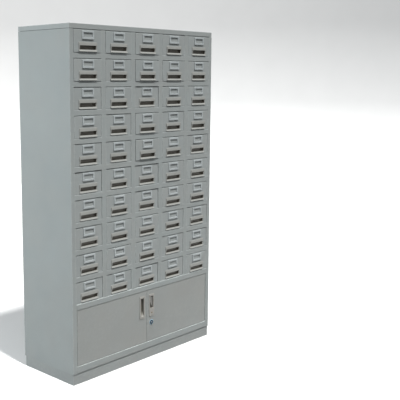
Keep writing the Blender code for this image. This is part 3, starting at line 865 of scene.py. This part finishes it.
def handle_cup(hand, side, plastic):
    """A moulded cup with a soft rim, and a ramp up to the rim at the recess's foot."""
    skin = Skin()
    centre = side * CUP_CENTRE
    low, high = (centre - CUP_HALF, CUP_BOTTOM), (centre + CUP_HALF, CUP_TOP)
    recess = cup_recess(side)
    corner, soft = 0.0040, 0.0012
    ramp = 0.026 if side < 0 else 0.003
    floor = (recess[0][0] + 0.001, recess[0][1] + ramp), (recess[1][0] - 0.001, recess[1][1] - 0.001)
    wall = 0.0012
    shelf = grown(*recess, wall)
    rings = []

    def add(low, high, corner, y, wear_and_painted_light=0.0):
        rings.append((upright(outline(low, high, corner, 4), y), wear_and_painted_light))

    add(*shelf, corner, DOOR_FACE + CUP_DEPTH + wall)
    add(*shelf, corner, CUP_BED)
    add(low, high, corner, CUP_BED)
    for turn, inset, behind in fold_arc(soft):
        add(*grown(low, high, -inset), corner, CUP_FACE + behind, 1.0 if turn == 60 else 0.0)
    add(*grown(*recess, 0.0012), 0.0052, CUP_FACE)
    add(*grown(*recess, 0.0004), 0.0044, CUP_FACE + 0.0003, 1.0)
    add(*recess, corner, CUP_FACE + 0.0012)
    # Painted shade: the right-hand recess wall and the floor of both recesses are coloured dark.
    add(*recess, corner, CUP_FACE + 0.0030, 0.0 if side < 0 else DEEP)
    add(*floor, 0.0050, DOOR_FACE + CUP_DEPTH, DEEP)
    skin.loft(rings, caps=(True, True))
    replaced = (hand + "_handle_cup",)
    skin.finish(hand + "_cup_moulding", hand + "_door", plastic, replaces=replaced)


def key_plug(metal):
    """The small round plug in the lower half of the right-hand cup, with its keyway."""
    skin = Skin()
    profile = [(0.0042, 0.0010, 0.0), (0.0042, -0.0005, 0.3), (0.0038, -0.0009, 1.0), (0.0030, -0.0010, 0.0)]
    profile += [(0.0027, -0.0004, 0.0), (0.0025, -0.0008, 0.5), (0.0012, -0.0009, 0.0)]
    turned(skin, profile, (CUP_CENTRE, CUP_FACE, KEY_BOSS), 28)
    made = skin.finish("key_plug", "right_door", metal)
    cut_keyway(made, CUP_CENTRE, KEY_BOSS, 0.0022, CUP_FACE - 0.004, CUP_FACE + 0.0004)


def latch_lever(plastic):
    """A finger plate with a slanted free edge and a ribbed grip, on a pin."""
    pin_radius, width, toe, slant, half_height = 0.0011, 0.018, 0.003, 0.033, 0.029
    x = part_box("latch_lever")[1].x - pin_radius
    y = DOOR_FACE + 0.0025
    recess = cup_recess(1)
    middle = (recess[0][1] + recess[1][1]) / 2
    bottom, top = middle - half_height, middle + half_height
    skin = Skin()

    def plate(inset, depth, wear_and_painted_light=0.0):
        right, left = x + pin_radius - inset, x - width + inset
        corners = [(right, bottom + inset), (right, top - inset), (left, top - inset)]
        corners += [(left, bottom + slant), (x - toe + inset, bottom + inset)]
        rings.append((upright(corners, y + depth), wear_and_painted_light))

    rings = []
    plate(0.0004, 0.00125)
    plate(0.0, 0.0009)
    plate(0.0, -0.0008)
    plate(0.0004, -0.00115, 1.0)
    plate(0.0009, -0.00125)
    skin.loft(rings, caps=(True, True))
    for rib in range(5):
        z = bottom + 0.032 + rib * 0.0045
        box = (x - 0.0135, z), (x - 0.0045, z + 0.0016)
        bar = []
        for inset, depth, wear_and_painted_light in ((0.0, 0.0012, 0.0), (0.0002, 0.0018, 0.4), (0.0006, 0.0020, 1.0)):
            bar.append((upright(outline(*grown(*box, -inset), 0.0006, 2), y - depth), wear_and_painted_light))
        skin.loft(bar, caps=(True, True))
    pin = [(pin_radius, recess[0][1] - 0.0008, 0.0), (pin_radius, recess[1][1] + 0.0008, 0.0)]
    turned(skin, pin, (x, y, 0.0), 16, "Z")
    skin.finish("lever_plate", "latch_lever", plastic, replaces=("latch_lever",))


def cam_lock(metal, cam_metal, ring_plastic, badge_plastic):
    """A dark ring and its pale escutcheon on the door, round a bright plug that turns the cam."""
    face = -0.0040
    ring = Skin()
    profile = [(0.0026, -0.0003), (0.0112, -0.0003), (0.0111, face + 0.0009), (0.0108, face + 0.0003)]
    profile += [(0.0101, face), (0.0040, face), (0.0031, face + 0.0006), (0.0026, face + 0.0016)]
    turned_ring(ring, profile, LOCK_PLACE)
    ring.finish("lock_ring", "right_door", ring_plastic)
    badge = Skin()
    profile = [(0.0114, -0.0001), (0.0160, -0.0001), (0.0160, -0.0006), (0.0157, -0.0009), (0.0114, -0.0009)]
    turned_ring(badge, profile, LOCK_PLACE)
    badge.finish("lock_escutcheon", "right_door", badge_plastic)
    plug = Skin()
    back = DOOR_THICKNESS + 0.0023
    profile = [(0.0060, back + 0.0012, 0.4), (0.0070, back + 0.0006, 0.0), (0.0070, back, 0.0)]
    profile += [(0.0078, back, 0.0), (0.0078, 0.0004, 0.0), (0.0024, 0.0004, 0.0)]
    profile += [(0.0024, face + 0.0016, 0.3), (0.0022, face + 0.0012, 1.0), (0.0012, face + 0.0010, 0.0)]
    turned(plug, profile, LOCK_PLACE)
    made = plug.finish("lock_plug", "cam_lock", metal, replaces=("cam_lock",))
    cut_keyway(made, LOCK_PLACE.x, LOCK_PLACE.z, 0.0016, DOOR_FACE - 0.007, DOOR_FACE)
    cam = Skin()
    start = DOOR_FACE + DOOR_THICKNESS + 0.0008
    low, high = (LOCK_PLACE.x - 0.006, LOCK_PLACE.z - 0.050), (LOCK_PLACE.x + 0.006, LOCK_PLACE.z + 0.010)
    edges = ((0.0003, 0.0, 0.6), (0.0, 0.0003, 0.2), (0.0, 0.0012, 0.2), (0.0003, 0.0015, 0.6))
    plate = []
    for inset, y, wear_and_painted_light in edges:
        plate.append((upright(outline(*grown(low, high, -inset), 0.0055, 5), start + y), wear_and_painted_light))
    cam.loft(plate, caps=(True, True))
    cam.finish("lock_cam", "cam_lock", cam_metal)


def turned_ring(skin, profile, centre, sides=40):
    """A ring of revolution through (radius, y) points, closed on itself."""
    rings = []
    for step in range(sides):
        angle = 2 * math.pi * step / sides
        points = [centre + Vector((r * math.cos(angle), y, r * math.sin(angle))) for r, y in profile]
        rings.append((points, 0.2))
    skin.loft(rings, wrap=True)


# Studio


def studio():
    """A pale floor that curves up far behind the cabinet, a high key light and a soft side light."""
    skin = Skin()
    profile = [(0.01, 0.0), (3.0, 0.0), (6.0, 0.0), (6.9, 0.12)]
    profile += [(7.6, 0.5), (8.0, 1.2), (8.1, 2.4), (8.1, 5.0)]
    angles = [math.pi * step / 32 for step in range(64)]
    rings = []
    for radius, height in profile:
        rings.append(([(radius * math.cos(a), radius * math.sin(a), height) for a in angles], 0.0))
    skin.loft(rings, caps=(True, False))
    floor = bpy.data.objects.new("studio_floor", skin.mesh("studio_floor", 80))
    bpy.context.scene.collection.objects.link(floor)
    floor.data.materials.append(pale_floor("studio_floor", (0.80, 0.80, 0.79)))
    floor.visible_shadow = False
    floor.visible_diffuse = False

    def lamp(name, kind, place, target, energy, size, colour=(1.0, 1.0, 1.0)):
        light = bpy.data.lights.new(name, kind)
        light.energy = energy
        light.color = colour
        if kind == "SUN":
            light.angle = math.radians(size)
        else:
            light.size = size
        made = bpy.data.objects.new(name, light)
        bpy.context.scene.collection.objects.link(made)
        made.location = place
        made.rotation_euler = (Vector(place) - Vector(target)).to_track_quat("Z", "Y").to_euler()

    azimuth, elevation = math.radians(-4), math.radians(64)
    flat = math.cos(elevation)
    way = Vector((flat * math.sin(azimuth), -flat * math.cos(azimuth), math.sin(elevation)))
    lamp("key", "SUN", way * 5, (0, 0, 0), 4.3, 5)
    lamp("side_fill", "AREA", (-3.0, 0.9, 1.6), (-0.5, 0.3, 1.0), 56, 1.6, (0.88, 0.96, 1.0))
    bpy.context.scene.world = sky()


def sky():
    """Soft light that is brightest overhead and to the left, and dim from below."""
    world = bpy.data.worlds.new("studio")
    world.use_nodes = True
    tree = world.node_tree
    background = tree.nodes["Background"]
    place = tree.nodes.new("ShaderNodeTexCoord")
    parts = tree.nodes.new("ShaderNodeSeparateXYZ")
    tree.links.new(place.outputs["Generated"], parts.inputs[0])
    strength = tree.nodes.new("ShaderNodeMath")
    strength.operation = "MULTIPLY"
    ramps = (("Z", -0.15, 0.25, 0.08, 0.52), ("X", -1.0, 1.0, 1.7, 0.3))
    for socket, (way, *numbers) in zip(strength.inputs, ramps):
        ramp = tree.nodes.new("ShaderNodeMapRange")
        for name, value in zip(("From Min", "From Max", "To Min", "To Max"), numbers):
            ramp.inputs[name].default_value = value
        tree.links.new(parts.outputs[way], ramp.inputs["Value"])
        tree.links.new(ramp.outputs[0], socket)
    background.inputs["Color"].default_value = (0.96, 0.98, 1.0, 1.0)
    tree.links.new(strength.outputs[0], background.inputs["Strength"])
    return world


def camera():
    """At eye height, off the left front corner. The lens is shifted to frame the cabinet left of centre."""
    yaw, pitch = math.radians(45.736), math.radians(7.863)
    data = bpy.data.cameras.new("camera")
    data.sensor_width = 36
    data.lens = 66.80
    data.shift_x, data.shift_y = 0.1519, -0.045
    made = bpy.data.objects.new("camera", data)
    bpy.context.scene.collection.objects.link(made)
    made.location = (-2.8597, -2.9236, 1.5338)
    ahead = Vector((math.sin(yaw) * math.cos(pitch), math.cos(yaw) * math.cos(pitch), -math.sin(pitch)))
    made.rotation_euler = ahead.to_track_quat("-Z", "Y").to_euler()
    bpy.context.scene.camera = made


def main():
    """The camera and studio, then the materials, then the pieces."""
    camera()
    studio()
    case_paint = powder_coat("case_paint", (0.290, 0.315, 0.310))
    plinth_paint = powder_coat("plinth_paint", (0.285, 0.305, 0.300))
    drawer_paint = powder_coat("drawer_paint", (0.290, 0.314, 0.310), 0.07)
    door_paint = powder_coat("door_paint", (0.290, 0.305, 0.295))
    label_plastic = moulded("label_plastic", (0.385, 0.415, 0.418), 0.42)
    pull_plastic = moulded("pull_plastic", (0.268, 0.272, 0.254), 0.42)
    cup_plastic = moulded("cup_plastic", (0.315, 0.307, 0.282), 0.42)
    lever_plastic = moulded("lever_plastic", (0.230, 0.225, 0.210), 0.55)
    ring_plastic = moulded("ring_plastic", (0.006, 0.026, 0.050), 0.35, 0.03, 0.3)
    badge_plastic = moulded("badge_plastic", (0.32, 0.44, 0.50), 0.45)
    bright = plated("bright_plate", (0.80, 0.82, 0.85), 0.22)
    dull = plated("dull_brass", (0.26, 0.19, 0.13), 0.5)
    zinc = plated("zinc_plate", (0.42, 0.43, 0.45), 0.42)
    face_frame(case_paint)
    case_shell(case_paint)
    top_cap(case_paint)
    plinth(plinth_paint)
    inner_sheets(case_paint)
    rail("header_rail", DOORWAY_TOP, HEADER_TOP, case_paint)
    rail("sill_rail", SILL_BOTTOM, DOORWAY_BOTTOM - 0.0002, case_paint)
    build_drawers(drawer_paint, label_plastic, pull_plastic)
    for name, side in (("left_door", -1), ("right_door", 1)):
        door(name, side, door_paint)
        pivots(name, side, zinc)
    handle_cup("left", -1, cup_plastic)
    handle_cup("right", 1, cup_plastic)
    key_plug(dull)
    latch_lever(lever_plastic)
    cam_lock(bright, zinc, ring_plastic, badge_plastic)
    bpy.context.scene.view_settings.view_transform = "Standard"


main()
